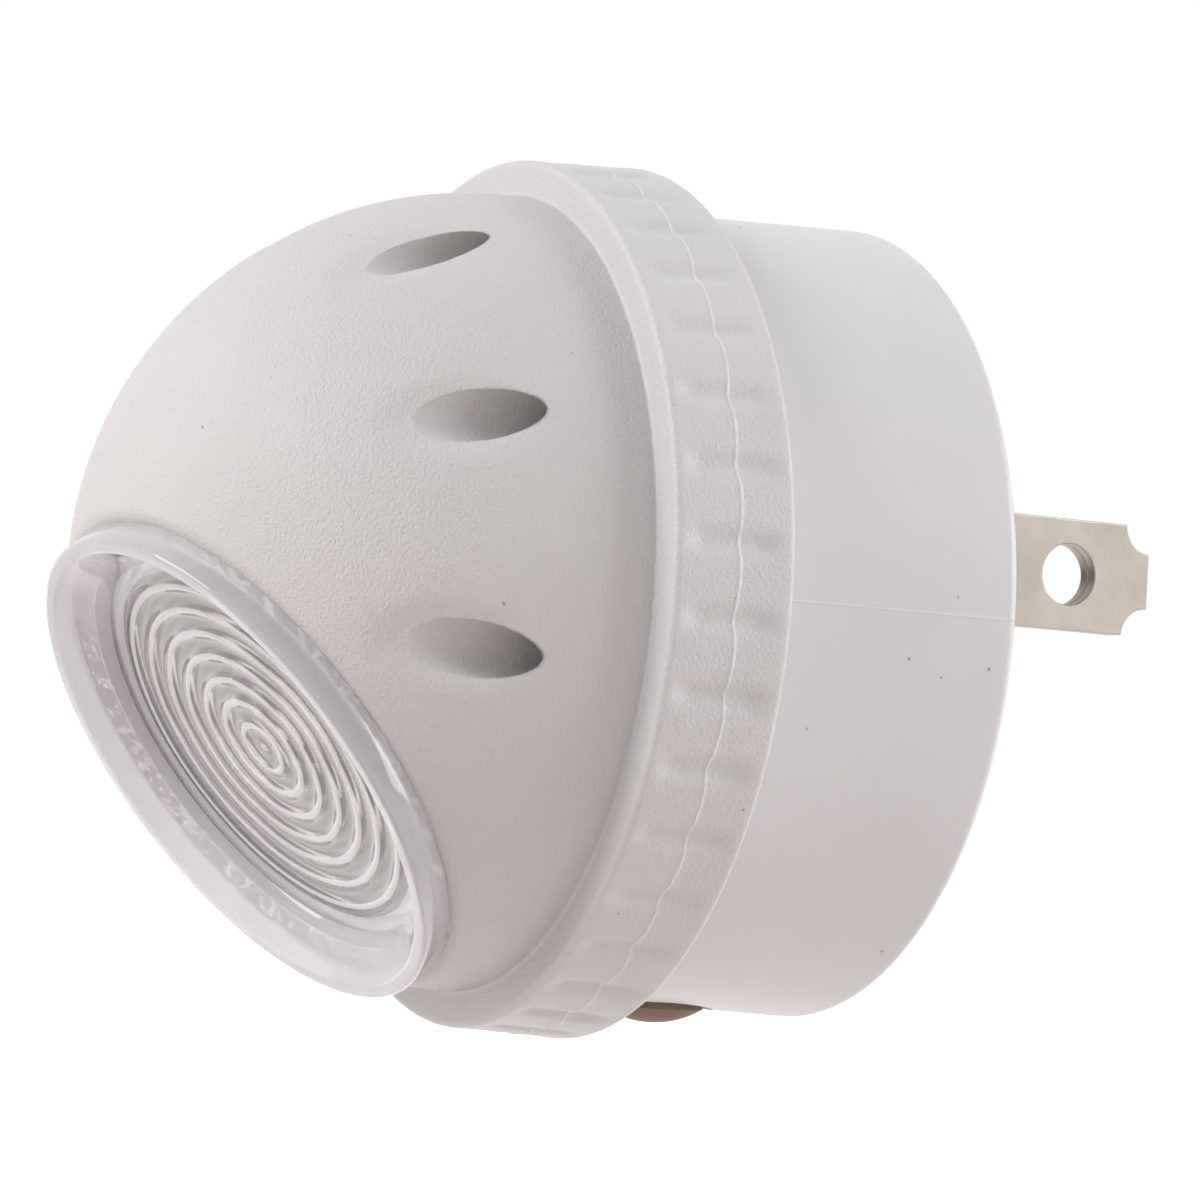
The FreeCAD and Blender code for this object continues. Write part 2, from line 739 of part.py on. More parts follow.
# Lens: flanged disc with concentric ridges, and a spigot for its clip
disc_front = lens_front - lens_recess
wave_end = lens_disc_r - ridge_margin
samples = 12 * int(lens_disc_r / ridge_pitch)
crest_points = []
for index in range(samples + 1):
    radius = wave_end * index / samples
    swing = math.cos(2 * math.pi * radius / ridge_pitch) * ridge_height / 2
    crest_points.append(V(radius, -(disc_front + swing), 0))
wave = Part.BSplineCurve()
wave.interpolate(crest_points)
rim = [
    crest_points[-1],
    V(lens_disc_r, -disc_front, 0),
    V(lens_mouth_r, -lens_front, 0),
    V(lens_flange_r - lens_flange_round, -lens_front, 0),
    V(lens_flange_r, -lens_front + lens_flange_round, 0),
    V(lens_flange_r, -lens_seat, 0),
    V(lens_spigot_r, -lens_seat, 0),
    V(lens_spigot_r, -lens_boss_depth, 0),
    V(lens_clip_groove_r, -lens_boss_depth, 0),
    V(lens_clip_groove_r, -lens_clip_near, 0),
    V(lens_spigot_r, -lens_clip_near, 0),
    V(lens_spigot_r - lens_spigot_lead, -lens_spigot_end, 0),
    V(lens_spigot_bore_r, -lens_spigot_end, 0),
    V(lens_spigot_bore_r, -lens_disc_back, 0),
    V(0, -lens_disc_back, 0),
    crest_points[0],
]
lens_edges = [wave.toShape()]
for low, high in zip(rim, rim[1:]):
    lens_edges.append(Part.LineSegment(low, high).toShape())
lens = outward(Part.Face(Part.Wire(lens_edges)).revolve(origin, axis_y, 360))
save("lens", on_head(on_lens_axis(lens)))

clip_bore_r = lens_clip_groove_r + lens_clip_gap
lens_clip = tube(clip_bore_r, lens_clip_outer_r, -lens_boss_depth, -lens_clip_near)
lens_clip = open_ring(lens_clip, lens_clip_opening, -lens_boss_depth, -lens_clip_near, dome_r)
save("lens_clip_ring", on_head(on_lens_axis(lens_clip)))

# Swivel clip: open ring in the head that hooks behind the lip of the neck
swivel_clip = tube(clip_inner_r, clip_outer_r, clip_front_y, clip_rear_y)
swivel_clip = open_ring(swivel_clip, clip_opening, clip_front_y, clip_rear_y, ring_rear_r)
save("swivel_clip", on_head(swivel_clip))
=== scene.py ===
import math

import bmesh
import bpy
from mathutils import Matrix, Vector

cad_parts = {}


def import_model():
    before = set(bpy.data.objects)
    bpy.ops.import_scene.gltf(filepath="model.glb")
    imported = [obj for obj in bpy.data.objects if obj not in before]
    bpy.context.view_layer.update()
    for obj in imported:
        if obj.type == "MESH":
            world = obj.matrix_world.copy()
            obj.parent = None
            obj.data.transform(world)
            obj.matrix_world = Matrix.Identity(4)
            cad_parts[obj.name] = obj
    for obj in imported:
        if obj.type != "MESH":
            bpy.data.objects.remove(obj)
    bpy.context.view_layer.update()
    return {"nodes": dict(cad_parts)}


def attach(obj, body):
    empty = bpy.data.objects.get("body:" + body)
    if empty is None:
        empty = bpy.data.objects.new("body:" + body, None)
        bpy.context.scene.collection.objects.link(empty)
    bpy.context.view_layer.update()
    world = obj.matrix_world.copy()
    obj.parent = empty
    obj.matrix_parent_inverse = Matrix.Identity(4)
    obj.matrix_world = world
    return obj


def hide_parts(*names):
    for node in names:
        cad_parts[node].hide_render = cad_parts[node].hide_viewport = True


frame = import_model()

# Plug-in night light. Shapes are worked out in millimetres, in the frame's axes: the wall
# face is y = 0, +Y runs into the wall, +Z is up. They become metres when a mesh is made.
MM = 0.001
SHARP_ANGLE = 30

# Base
BASE_WALL_R = 22.42
BASE_FRONT_R = 21.88
BASE_DEPTH = 14.3
BASE_BORE_R = 19.6
BASE_BORE_Y = -14.4
BASE_EDGE = 0.5
BASE_FRONT_EDGE = 0.2
PLATE_POCKET_R = 20.35
PLATE_DEPTH = 2.4
NECK_R = 20.6
NECK_BORE_R = 18.6
NECK_FRONT_Y = -20.15
NECK_GROOVE_R = 20.2
NECK_GROOVE_REAR_Y = -15.95
NECK_GROOVE_FRONT_Y = -17.25
NECK_LIP_R = 21.2
NECK_LIP_Y = -19.2
NECK_LIP_EDGE = 0.3
FRONT_WALL_Y = -18.55
SENSOR_Y = -8.5
SENSOR_HOLE_R = 3.6
SENSOR_PAD_WALL = 0.7
SENSOR_PAD_LOW = 18.9
SENSOR_PAD_HIGH = 19.8
WINDOW_R = 2.95
WINDOW_FLANGE_R = 4.1
WINDOW_FLANGE_LOW = 18.1
WINDOW_CROWN_LOW = 21.0
WINDOW_TOP = 23.1
WINDOW_RISE = 0.9
LED_HOLE_R = 2.6

# Head
HEAD_TURN = math.radians(-9.0)
RING_REAR_Y = -14.5
RING_FRONT_Y = -21.23
RING_REAR_R = 24.18
RING_FRONT_R = 23.83
RING_BORE_R = 21.5
RING_LEDGE_Y = -20.4
RING_REAR_EDGE = 0.3
RING_FRONT_EDGE = 0.4
CLIP_GROOVE_R = 22.6
CLIP_GROOVE_REAR_Y = -17.7
CLIP_GROOVE_FRONT_Y = -19.1
GROOVE_COUNT = 38
GROOVE_DEPTH = 0.27
GROOVE_PHASE = 0.2
GROOVE_WIDTH = 0.14
RING_LINE_Y = -17.65
RING_LINE_WIDTH = 0.07
RING_LINE_HEIGHT = 0.05
DOME_R = 21.8
DOME_WALL = 2.0
DOME_EDGE = 0.9
DOME_INNER_HOLE_R = 14.39
DOME_Y = -21.57

# Lens, depths measured from the dome's centre along the lens axis
LENS_TILT = math.radians(38.4)
LENS_FRONT = 17.66
LENS_SEAT = 15.72
LENS_FLANGE_R = 14.71
LENS_MOUTH_R = 13.9
LENS_DISC_R = 11.95
LENS_RECESS = 2.4
LENS_DISC_BACK = 13.9
LENS_SPIGOT_R = 12.8
LENS_SPIGOT_BORE_R = 11.3
LENS_SPIGOT_END = 12.3
LENS_HOLE_R = 12.9
LENS_BOSS_DEPTH = 13.6
LENS_CLIP_GROOVE_R = 12.35
LENS_CLIP_GROOVE_END = 12.9
RIDGE_PITCH = 1.47
RIDGE_HEIGHT = 0.17
RIDGE_END_R = 11.0

# Vents
VENT_R = 1.45
VENT_LINE_R = 19.7
VENT_REAR = 4.0
VENT_ANGLES = [0, 40, 75, 110, -40, -75, -110]
VENT_WALL = 0.7
VENT_FLOOR_Y = -21.4
VENT_FLOOR = 0.4
VENT_EDGE_REACH = 1.3
VENT_EDGE_SINK = 0.3

# Blades
BLADE_X = 6.35
BLADE_WIDTH = 6.35
BLADE_THICKNESS = 1.5
BLADE_LENGTH = 18.25
BLADE_RISE = 3.75
BLADE_HOLE_R = 1.75
BLADE_HOLE_Y = 12.83
BLADE_CORNER_R = 1.6
BLADE_FOOT_Y = -6.8
BLADE_FOOT_END_Y = -7.2
BLADE_FOOT_REACH = 2.2
BLADE_FOOT_DEPTH = 0.8
BLADE_FOOT_WIDTH = 4.0

# Moulding line along both sides of the base
FLASH_HALF_WIDTH = 0.07
FLASH_HEIGHT = 0.08

head_matrix = Matrix.Rotation(HEAD_TURN, 4, "Y")
lens_matrix = head_matrix @ Matrix.Translation((0, DOME_Y, 0)) @ Matrix.Rotation(LENS_TILT, 4, "X")
sensor_matrix = Matrix.Translation((0, SENSOR_Y, 0)) @ Matrix.Rotation(math.radians(-90), 4, "X")


# Mesh helpers

def arc(centre, radius, start, end, steps):
    """Points (r, y) of an arc. Angles in degrees, 0 along +r and 90 along +y."""
    points = []
    for index in range(steps + 1):
        angle = math.radians(start + (end - start) * index / steps)
        points.append((centre[0] + radius * math.cos(angle), centre[1] + radius * math.sin(angle)))
    return points


def line(start, end, step=0.4):
    """Points from start up to, but not including, end."""
    length = math.dist(start, end)
    count = max(1, round(length / step))
    return [(start[0] + (end[0] - start[0]) * index / count,
             start[1] + (end[1] - start[1]) * index / count) for index in range(count)]


def even_angles(count):
    return [2 * math.pi * index / count for index in range(count)]


def add_lathe(bm, profile, angles, matrix, closed=True, shape=None):
    """Turns (r, y) points about the Y axis into bm. shape(r, y, angle) may move a point."""
    rings = []
    for r, y in profile:
        if r < 1e-6:
            rings.append([bm.verts.new(matrix @ Vector((0, y, 0)))])
            continue
        ring = []
        for angle in angles:
            at_r, at_y = shape(r, y, angle) if shape else (r, y)
            point = Vector((at_r * math.sin(angle), at_y, at_r * math.cos(angle)))
            ring.append(bm.verts.new(matrix @ point))
        rings.append(ring)
    pairs = list(zip(rings, rings[1:]))
    if closed:
        pairs.append((rings[-1], rings[0]))
    count = len(angles)
    for low, high in pairs:
        for index in range(count):
            after = (index + 1) % count
            if len(low) == 1 and len(high) == 1:
                break
            if len(low) == 1:
                bm.faces.new((low[0], high[after], high[index]))
            elif len(high) == 1:
                bm.faces.new((low[index], low[after], high[0]))
            else:
                bm.faces.new((low[index], low[after], high[after], high[index]))


def mesh_object(name, bm, sharp=SHARP_ANGLE):
    bmesh.ops.recalc_face_normals(bm, faces=bm.faces)
    for vertex in bm.verts:
        vertex.co *= MM
    mesh = bpy.data.meshes.new(name)
    bm.to_mesh(mesh)
    bm.free()
    mesh.shade_smooth()
    mesh.set_sharp_from_angle(angle=math.radians(sharp))
    made = bpy.data.objects.new(name, mesh)
    bpy.context.scene.collection.objects.link(made)
    return made


def lathe_object(name, profile, angles, matrix, closed=True, shape=None, sharp=SHARP_ANGLE):
    bm = bmesh.new()
    add_lathe(bm, profile, angles, matrix, closed, shape)
    return mesh_object(name, bm, sharp)


def rod_profile(radius, low, high):
    return [(0, low), (radius, low), (radius, high), (0, high)]


def cut(target, tools, operation="DIFFERENCE"):
    """Applies a boolean with each tool, deletes the tools and keeps the result as plain mesh."""
    for tool in tools:
        modifier = target.modifiers.new("cut", "BOOLEAN")
        modifier.object = tool
        modifier.operation = operation
        modifier.solver = "EXACT"
    bpy.context.view_layer.update()
    depsgraph = bpy.context.evaluated_depsgraph_get()
    result = bpy.data.meshes.new_from_object(target.evaluated_get(depsgraph))
    target.modifiers.clear()
    target.data = result
    result.shade_smooth()
    result.set_sharp_from_angle(angle=math.radians(SHARP_ANGLE))
    for tool in tools:
        bpy.data.objects.remove(tool)
    return target


def join(name, parts):
    """Joins objects that stand in the frame's own axes. A part's place is its first slot."""
    bm = bmesh.new()
    for slot, part in enumerate(parts):
        start = len(bm.faces)
        bm.from_mesh(part.data)
        bm.faces.ensure_lookup_table()
        for face in bm.faces[start:]:
            face.material_index += slot
        bpy.data.objects.remove(part)
    mesh = bpy.data.meshes.new(name)
    bm.to_mesh(mesh)
    bm.free()
    made = bpy.data.objects.new(name, mesh)
    bpy.context.scene.collection.objects.link(made)
    return made


# Materials

class Nodes:
    """Small wrapper that makes a material and links its nodes."""

    def __init__(self, name):
        self.material = bpy.data.materials.new(name)
        self.material.use_nodes = True
        self.tree = self.material.node_tree
        self.shader = self.tree.nodes["Principled BSDF"]
        coordinates = self.tree.nodes.new("ShaderNodeTexCoord")
        self.place = coordinates.outputs["Object"]

    def add(self, kind, **values):
        node = self.tree.nodes.new(kind)
        for key, value in values.items():
            if hasattr(node, key):
                setattr(node, key, value)
            else:
                node.inputs[key].default_value = value
        return node

    def link(self, source, target):
        self.tree.links.new(source, target)

    def scaled(self, scale):
        mapping = self.add("ShaderNodeMapping")
        mapping.inputs["Scale"].default_value = scale
        self.link(self.place, mapping.inputs["Vector"])
        return mapping.outputs["Vector"]

    def noise(self, scale, detail=2.0, roughness=0.5, place=None):
        node = self.add("ShaderNodeTexNoise", Scale=scale, Detail=detail, Roughness=roughness)
        self.link(place or self.place, node.inputs["Vector"])
        return node.outputs["Fac"]

    def ramp(self, value, low, high, dark, light):
        node = self.add("ShaderNodeValToRGB")
        node.color_ramp.elements[0].position = low
        node.color_ramp.elements[1].position = high
        node.color_ramp.elements[0].color = (*dark, 1)
        node.color_ramp.elements[1].color = (*light, 1)
        self.link(value, node.inputs["Fac"])
        return node.outputs["Color"]

    def spread(self, value, low, high):
        node = self.add("ShaderNodeMapRange")
        node.inputs["To Min"].default_value = low
        node.inputs["To Max"].default_value = high
        self.link(value, node.inputs["Value"])
        return node.outputs["Result"]

    def bump(self, value, strength, distance, below=None):
        node = self.add("ShaderNodeBump", Strength=strength, Distance=distance)
        self.link(value, node.inputs["Height"])
        if below is not None:
            self.link(below, node.inputs["Normal"])
        return node.outputs["Normal"]

    def set(self, **values):
        for key, value in values.items():
            self.shader.inputs[key.replace("_", " ")].default_value = value


def tint(colour, factor):
    return tuple(min(1, channel * factor) for channel in colour)


def moulded_plastic(name, colour, gloss, grain_scale, grain_depth, grain=0.5, soft=0.0, edge_r=0.15):
    """Moulded plastic: slow colour drift, rare specks, uneven gloss, fine grain, rounded edges."""
    n = Nodes(name)
    drift = n.ramp(n.noise(90, 3), 0.3, 0.7, tint(colour, 0.97), tint(colour, 1.02))
    speck = n.add("ShaderNodeMix", data_type="RGBA")
    n.link(n.ramp(n.noise(1700, 1), 0.8, 0.83, (0, 0, 0), (0.7, 0.7, 0.7)), speck.inputs["Factor"])
    mixed = [socket for socket in speck.inputs if socket.type == "RGBA"]
    n.link(drift, mixed[0])
    mixed[1].default_value = (0.25, 0.2, 0.17, 1)
    result = [socket for socket in speck.outputs if socket.type == "RGBA"][0]
    n.link(result, n.shader.inputs["Base Color"])
    n.link(n.spread(n.noise(400, 3), gloss - 0.05, gloss + 0.06), n.shader.inputs["Roughness"])
    edge = n.add("ShaderNodeBevel", samples=4)
    edge.inputs["Radius"].default_value = edge_r * MM
    fine = n.bump(n.noise(grain_scale, 3, 0.55), grain, grain_depth, edge.outputs["Normal"])
    n.link(n.bump(n.noise(260, 2), 0.25, 0.04 * MM, fine), n.shader.inputs["Normal"])
    n.set(IOR=1.48)
    if soft:
        n.set(Subsurface_Weight=soft, Subsurface_Radius=(1.0, 0.85, 0.7), Subsurface_Scale=0.0012)
    return n.material


def clear_plastic(name, colour, roughness, clearness=1.0, ior=1.47, coat=0.0):
    """Clear plastic with uneven polish. clearness under 1 leaves some milky scatter."""
    n = Nodes(name)
    n.set(IOR=ior, Transmission_Weight=clearness, Coat_Weight=coat, Coat_Roughness=0.03, Coat_IOR=1.5)
    haze = n.noise(220, 3)
    n.link(n.ramp(haze, 0.3, 0.7, tint(colour, 0.97), colour), n.shader.inputs["Base Color"])
    n.link(n.spread(n.noise(300, 3), roughness, roughness + 0.05), n.shader.inputs["Roughness"])
    n.link(n.bump(n.noise(500, 2), 0.06, 0.02 * MM), n.shader.inputs["Normal"])
    return n.material


def metal(name, colour, roughness, brush=(40, 900, 40), depth=0.3):
    """Plated or rolled metal with fine lines along one way and a slow stain."""
    n = Nodes(name)
    stain = n.noise(250, 4, 0.6)
    n.link(n.ramp(stain, 0.35, 0.7, tint(colour, 0.86), tint(colour, 1.05)), n.shader.inputs["Base Color"])
    n.set(Metallic=1.0)
    lines = n.noise(60, 3, 0.6, n.scaled(brush))
    n.link(n.spread(lines, roughness - 0.05, roughness + 0.12), n.shader.inputs["Roughness"])
    grain = n.noise(5000, 2)
    n.link(n.bump(grain, 0.2, 0.01 * MM, n.bump(lines, depth, 0.01 * MM)), n.shader.inputs["Normal"])
    return n.material


def coated(name, colour, roughness, mottle=0.9):
    """Small electrical parts: dipped, sleeved or moulded coats with a mottled colour."""
    n = Nodes(name)
    n.link(n.ramp(n.noise(900, 4), 0.3, 0.7, tint(colour, mottle), colour), n.shader.inputs["Base Color"])
    n.link(n.spread(n.noise(1500, 2), roughness - 0.05, roughness + 0.08), n.shader.inputs["Roughness"])
    n.link(n.bump(n.noise(2500, 2), 0.2, 0.02 * MM), n.shader.inputs["Normal"])
    return n.material


def board_material():
    n = Nodes("phenolic_board")
    tan = (0.5, 0.36, 0.17)
    fibres = n.noise(300, 4, 0.6, n.scaled((1, 1, 8)))
    n.link(n.ramp(fibres, 0.3, 0.7, tint(tan, 0.8), tan), n.shader.inputs["Base Color"])
    n.link(n.spread(fibres, 0.4, 0.6), n.shader.inputs["Roughness"])
    n.link(n.bump(fibres, 0.2, 0.02 * MM), n.shader.inputs["Normal"])
    return n.material


DOME_COLOUR = (0.725, 0.7, 0.69)
BASE_COLOUR = (0.755, 0.745, 0.75)
RING_COLOUR = (0.71, 0.695, 0.695)
# The lighter line colour is a painted highlight: it makes the moulding lines on the base and on the ring's
# band look bright, as light on their smooth tops would.
LINE_HIGHLIGHT_COLOUR = (0.84, 0.825, 0.82)
dome_plastic = moulded_plastic("dome_plastic", DOME_COLOUR, 0.5, 6000, 0.12 * MM, 0.8, 0.1, 0.2)
ring_plastic = moulded_plastic("ring_plastic", RING_COLOUR, 0.42, 5200, 0.11 * MM, 0.6, 0.1, 0.2)
base_plastic = moulded_plastic("base_plastic", BASE_COLOUR, 0.36, 1500, 0.02 * MM, 0.25, 0.1)
# Lighter plastic for the moulding lines: a painted highlight.
line_highlight_plastic = moulded_plastic("line_highlight_plastic", LINE_HIGHLIGHT_COLOUR, 0.35, 1500, 0.01 * MM, 0.2, 0.1, 0.05)
plate_plastic = moulded_plastic("plate_plastic", BASE_COLOUR, 0.4, 1800, 0.03 * MM, 0.35, 0.1)
insulator = moulded_plastic("insulator", (0.78, 0.75, 0.68), 0.5, 1800, 0.03 * MM, 0.4)
# The lens's taupe tint is painted shade: it darkens the inside of the head seen through the lens.
lens_clear = clear_plastic("lens_clear", (0.66, 0.605, 0.59), 0.08, 0.82, 1.35, 1.0)
lens_rim = clear_plastic("lens_rim", (0.97, 0.945, 0.965), 0.2, 0.5, 1.2, 1.0)
# Milky, whiter plastic on the lens's ring crests: a painted highlight that draws the white ring lines.
lens_crest_highlight = clear_plastic("lens_crest_highlight", (0.93, 0.915, 0.92), 0.16, 0.35, 1.35, 1.0)
smoky = clear_plastic("smoky_window", (0.31, 0.215, 0.16), 0.5, 0.08, 1.12)
led_resin = clear_plastic("led_resin", (0.97, 0.86, 0.52), 0.05)
nickel = metal("nickel_plate", (0.34, 0.305, 0.27), 0.4)
screw_steel = metal("screw_steel", (0.6, 0.6, 0.6), 0.35, (60, 60, 60))
spring_steel = metal("spring_steel", (0.56, 0.57, 0.6), 0.3, (60, 60, 60))
lead_metal = metal("lead_metal", (0.75, 0.75, 0.74), 0.25, (60, 60, 60))
red_coat = coated("capacitor_case", (0.5, 0.09, 0.05), 0.3)
dark_sleeve = coated("capacitor_can", (0.07, 0.08, 0.13), 0.3)
black_case = coated("component_black", (0.03, 0.03, 0.03), 0.5)
resistor_coat = coated("resistor_body", (0.66, 0.52, 0.34), 0.4)
black_wire = coated("wire_black", (0.03, 0.03, 0.03), 0.45)
white_wire = coated("wire_white", (0.8, 0.8, 0.8), 0.45)
cell_coat = coated("photocell_body", (0.7, 0.42, 0.24), 0.3)
rubber = coated("seal_rubber", (0.04, 0.04, 0.04), 0.7)
board_coat = board_material()

NODE_MATERIALS = {
    "base_housing": base_plastic, "wall_plate": plate_plastic, "head_shell": dome_plastic,
    "wall_plate_screw_right": screw_steel, "wall_plate_screw_left": screw_steel,
    "blade_right": nickel, "blade_left": nickel, "blade_clamp": insulator, "clamp_screw": screw_steel,
    "circuit_board": board_coat, "board_screw_right": screw_steel, "board_screw_left": screw_steel,
    "dropper_capacitor": red_coat, "filter_capacitor": dark_sleeve, "bridge_rectifier": black_case,
    "fuse_resistor": resistor_coat, "bleed_resistor": resistor_coat, "sensor_resistor": resistor_coat,
    "transistor": black_case, "line_wire": black_wire, "neutral_wire": white_wire,
    "sensor_window": smoky, "photocell": cell_coat, "photocell_lead_right": lead_metal,
    "photocell_lead_left": lead_metal, "led": led_resin, "led_holder": insulator,
    "led_lead_right": lead_metal, "led_lead_left": lead_metal, "friction_ring": rubber,
    "lens": lens_clear, "lens_clip_ring": spring_steel, "swivel_clip": spring_steel,
}
for node_name, node_material in NODE_MATERIALS.items():
    node = frame["nodes"][node_name]
    node.data.materials.clear()
    node.data.materials.append(node_material)


def finish_piece(piece, materials, body, slot, *nodes):
    """Gives the piece its materials, one for each slot, the last one for any further slots."""
    highest = max(polygon.material_index for polygon in piece.data.polygons)
    used = [materials[min(index, len(materials) - 1)] for index in range(highest + 1)]
    kept = [polygon.material_index for polygon in piece.data.polygons]
    piece.data.materials.clear()
    for material in used:
        piece.data.materials.append(material)
    piece.data.polygons.foreach_set("material_index", kept)
    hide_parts(*nodes)
    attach(piece, body)
    return piece


# Base housing

def seam_angles(count):
    """Even angles, with close ones around the parting line on both sides."""
    angles = set(even_angles(count))
    for side in (math.pi / 2, 3 * math.pi / 2):
        for step in range(-6, 7):
            angles.add(side + step * FLASH_HALF_WIDTH / 3 / BASE_WALL_R)
    return sorted(angles)


def base_shape(r, y, angle):
    """Raises a hairline flash on both sides of the outer wall."""
    if r < BASE_FRONT_R - 0.1 or y > -0.3:
        return r, y
    distance = min(abs(angle - math.pi / 2), abs(angle - 3 * math.pi / 2)) * r
    rise = math.exp(-(distance / FLASH_HALF_WIDTH) ** 2)
    wobble = 0.75 + 0.25 * math.sin(y * 2.1)
    return r + FLASH_HEIGHT * rise * wobble, y


def base_piece():
    edge = BASE_EDGE
    front_edge = BASE_FRONT_EDGE
    outer = [(PLATE_POCKET_R, 0), (PLATE_POCKET_R + 0.8, 0)]
    outer += arc((BASE_WALL_R - edge, -edge), edge, 90, 0, 6)
    outer += line((BASE_WALL_R, -edge - 0.1), (BASE_FRONT_R, -BASE_DEPTH + front_edge), 0.5)
    front_corner = (BASE_FRONT_R - front_edge, -BASE_DEPTH + front_edge)
    outer += arc(front_corner, front_edge, 0, -90, 3)
    outer += [(NECK_R, -BASE_DEPTH), (NECK_R, NECK_GROOVE_REAR_Y),
              (NECK_GROOVE_R, NECK_GROOVE_REAR_Y), (NECK_GROOVE_R, NECK_GROOVE_FRONT_Y),
              (NECK_R, NECK_GROOVE_FRONT_Y), (NECK_R, NECK_LIP_Y), (NECK_LIP_R, NECK_LIP_Y),
              (NECK_LIP_R, NECK_FRONT_Y + NECK_LIP_EDGE),
              (NECK_LIP_R - NECK_LIP_EDGE, NECK_FRONT_Y),
              (LED_HOLE_R, NECK_FRONT_Y), (LED_HOLE_R, FRONT_WALL_Y),
              (NECK_BORE_R, FRONT_WALL_Y), (NECK_BORE_R, BASE_BORE_Y), (BASE_BORE_R, BASE_BORE_Y),
              (BASE_BORE_R, -PLATE_DEPTH), (PLATE_POCKET_R, -PLATE_DEPTH)]
    housing = lathe_object("housing_wall", outer, seam_angles(288), Matrix(), shape=base_shape)
    hole_profile = rod_profile(SENSOR_HOLE_R, 17, 26)
    hole = lathe_object("sensor_hole", hole_profile, even_angles(64), sensor_matrix, False)
    cut(housing, [hole])
    # Faces on the flash line get the lighter line plastic, a painted highlight.
    for polygon in housing.data.polygons:
        at = polygon.center / MM
        beside = abs(at.z) < FLASH_HALF_WIDTH * 0.6 and abs(at.x) > BASE_FRONT_R - 0.1
        polygon.material_index = 1 if beside and at.y < -0.6 else 0
    pad_r = SENSOR_HOLE_R + SENSOR_PAD_WALL
    pad_profile = [(SENSOR_HOLE_R, SENSOR_PAD_LOW), (pad_r, SENSOR_PAD_LOW),
                   (pad_r, SENSOR_PAD_HIGH), (SENSOR_HOLE_R, SENSOR_PAD_HIGH)]
    pad = lathe_object("sensor_pad", pad_profile, even_angles(64), sensor_matrix)
    whole = join("housing_moulding", [pad, housing])
    coats = [base_plastic, base_plastic, line_highlight_plastic]
    return finish_piece(whole, coats, "base", "housing_plastic", "base_housing")


base_piece()


# Sensor window

def sensor_piece():
    ball_r = (WINDOW_R ** 2 + WINDOW_RISE ** 2) / (2 * WINDOW_RISE)
    half = math.degrees(math.asin(WINDOW_R / ball_r))
    crown = arc((0, WINDOW_TOP - ball_r), ball_r, 90 - half, 90, 14)
    crown[-1] = (0, crown[-1][1])
    profile = [(0, WINDOW_FLANGE_LOW), (WINDOW_FLANGE_R, WINDOW_FLANGE_LOW),
               (WINDOW_FLANGE_R, SENSOR_PAD_LOW), (WINDOW_R, SENSOR_PAD_LOW),
               (WINDOW_R, WINDOW_CROWN_LOW)] + crown
    window = lathe_object("smoky_dome", profile, even_angles(72), sensor_matrix, False)
    return finish_piece(window, [smoky], "base", "smoky_window", "sensor_window")


sensor_piece()


# Plug blades

def blade_outline(shrink):
    """Outline (y, z) of a blade's free part, with concave corners at the tip."""
    half = BLADE_WIDTH / 2 - shrink
    tip = BLADE_LENGTH - shrink
    radius = BLADE_CORNER_R
    points = [(BLADE_FOOT_END_Y, -half)]
    for corner in (-1, 1):
        centre = (BLADE_LENGTH, corner * BLADE_WIDTH / 2)
        steps = [90 * index / 8 for index in range(9)]
        stretch = [(centre[0] - (radius + shrink) * math.cos(math.radians(a)),
                    centre[1] - corner * (radius + shrink) * math.sin(math.radians(a))) for a in steps]
        stretch = [(min(y, tip), max(-half, min(half, z))) for y, z in stretch]
        points += stretch if corner < 0 else stretch[::-1]
    points.append((BLADE_FOOT_END_Y, half))
    return points


def leaf(name, x_middle, thickness, shrink, round_over):
    """One leaf of the folded strip: a flat outline with a round hole, and eased edges."""
    curve = bpy.data.curves.new(name, "CURVE")
    curve.dimensions = "2D"
    curve.fill_mode = "BOTH"
    outline = blade_outline(shrink + round_over)
    spline = curve.splines.new("POLY")
    spline.points.add(len(outline) - 1)
    for point, (y, z) in zip(spline.points, outline):
        point.co = (y * MM, z * MM, 0, 1)
    spline.use_cyclic_u = True
    hole = curve.splines.new("POLY")
    count = 56
    hole_r = BLADE_HOLE_R + shrink + round_over
    hole.points.add(count - 1)
    for index, point in enumerate(hole.points):
        angle = 2 * math.pi * index / count
        point.co = ((BLADE_HOLE_Y + hole_r * math.cos(angle)) * MM, hole_r * math.sin(angle) * MM, 0, 1)
    hole.use_cyclic_u = True
    curve.extrude = (thickness / 2 - round_over) * MM
    curve.bevel_depth = round_over * MM
    curve.bevel_resolution = 2
    flat = bpy.data.objects.new(name, curve)
    bpy.context.scene.collection.objects.link(flat)
    bpy.context.view_layer.update()
    mesh = bpy.data.meshes.new_from_object(flat.evaluated_get(bpy.context.evaluated_depsgraph_get()))
    bpy.data.objects.remove(flat)
    # curve x runs along +Y, curve y runs along +Z, curve z runs along +X
    place = Matrix(((0, 0, 1, x_middle * MM), (1, 0, 0, 0), (0, 1, 0, BLADE_RISE * MM), (0, 0, 0, 1)))
    mesh.transform(place)
    made = bpy.data.objects.new(name, mesh)
    bpy.context.scene.collection.objects.link(made)
    return made


